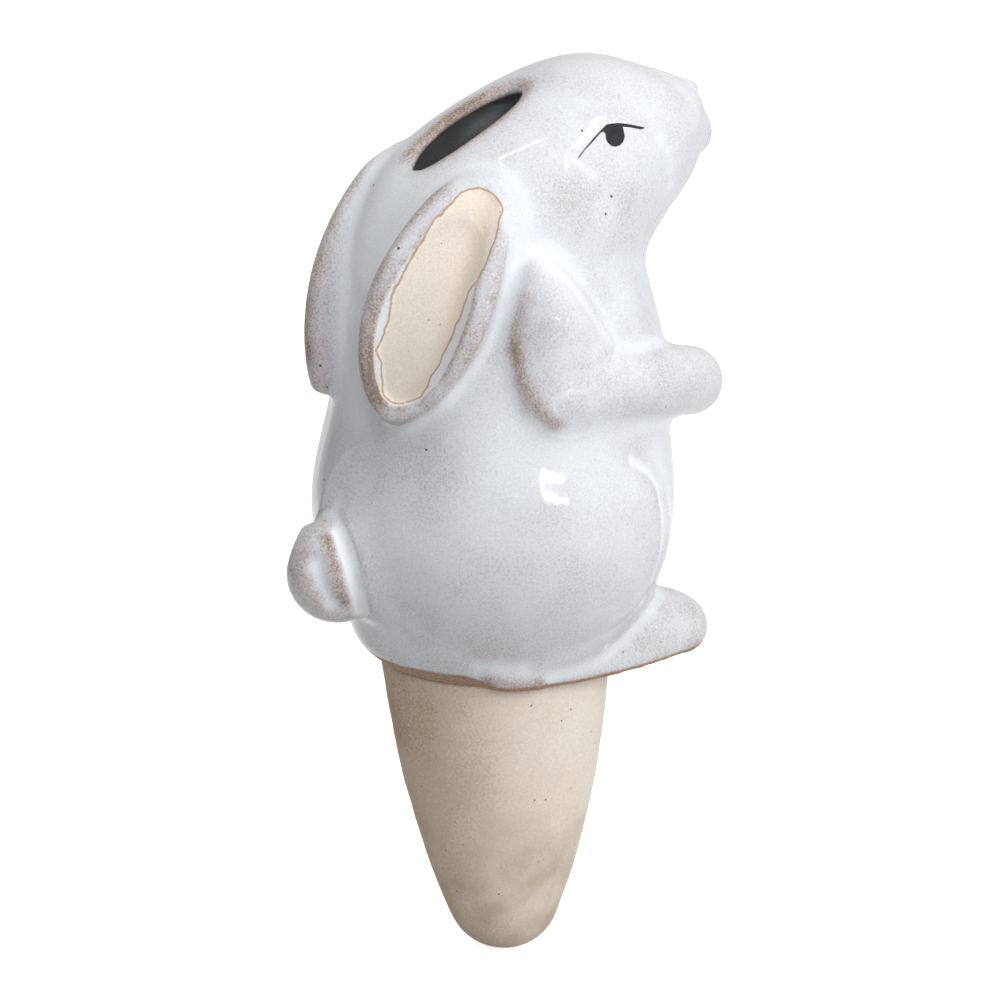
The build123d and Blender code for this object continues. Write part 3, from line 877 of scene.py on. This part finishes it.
# The room is darker on the left, and white behind the picture.
world = bpy.data.worlds.new("studio")
bpy.context.scene.world = world
world.use_nodes = True
world.node_tree.nodes.clear()
seen = shade(world, "ShaderNodeLightPath")
ray = shade(
    world, "ShaderNodeMath", {0: seen["Is Glossy Ray"], 1: seen["Is Transmission Ray"]}, operation="MAXIMUM"
)[0]
way = shade(world, "ShaderNodeTexCoord")["Generated"]
rightward = shade(world, "ShaderNodeVectorMath", {0: way, 1: across}, operation="DOT_PRODUCT")["Value"]
room = shade(world, "ShaderNodeMath", {0: rightward, 1: 0.16, 2: 0.40}, operation="MULTIPLY_ADD")[0]
gloss = shade(world, "ShaderNodeMath", {0: rightward, 1: 0.25, 2: 0.75}, operation="MULTIPLY_ADD")[0]
level = shade(world, "ShaderNodeMapRange", {"Value": ray, "To Min": room, "To Max": gloss})[0]
level = shade(world, "ShaderNodeMapRange", {"Value": seen["Is Camera Ray"], "To Min": level})[0]
sky = shade(world, "ShaderNodeBackground", {"Color": (1, 1, 1, 1), "Strength": level})["Background"]
shade(world, "ShaderNodeOutputWorld", {"Surface": sky})


def lamp(name, right, up, near, width, height, power, mirrored):
    """A soft box right of, above and this side of the figure, facing it; mirrored if the gloss shows it."""
    made = bpy.data.lights.new(name, "AREA")
    made.shape = "RECTANGLE"
    made.size = width
    made.size_y = height
    made.energy = power
    box = bpy.data.objects.new(name, made)
    box.location = FIGURE_MIDDLE + across * right + above * up - away * near
    box.rotation_euler = (FIGURE_MIDDLE - box.location).to_track_quat("-Z", "Y").to_euler()
    box.visible_glossy = mirrored
    bpy.context.scene.collection.objects.link(box)


lamp("key", 0.80, 0.25, 0.60, 0.5, 0.5, 4.8, False)
lamp("top", -0.05, 0.85, 0.55, 0.6, 0.6, 2.9, False)
lamp("front", 0.10, 0.20, 1.00, 0.4, 0.4, 1.5, False)
lamp("fill", -0.80, 0.30, 0.60, 0.6, 0.6, 0.4, False)
lamp("window_side", 0.40, -0.125, 0.955, 0.03, 0.014, 0.03, True)
lamp("window_sill", 0.53, -0.12, 0.88, 0.30, 0.010, 0.20, True)
lamp("upper_window", 0.52, 0.80, 0.49, 0.14, 0.09, 0.30, True)
lamp("ceiling", 0.00, 0.90, 0.42, 0.30, 0.012, 0.20, True)

lens = bpy.data.cameras.new("long_lens")
lens.sensor_width = SENSOR
lens.lens = SENSOR * FOCAL_RATIO
lens.clip_end = 20
camera = bpy.data.objects.new("long_lens", lens)
camera.location = CAMERA_PLACE
camera.rotation_euler = away.to_track_quat("-Z", "Y").to_euler()
bpy.context.scene.collection.objects.link(camera)
bpy.context.scene.camera = camera
bpy.context.scene.view_settings.view_transform = "Standard"
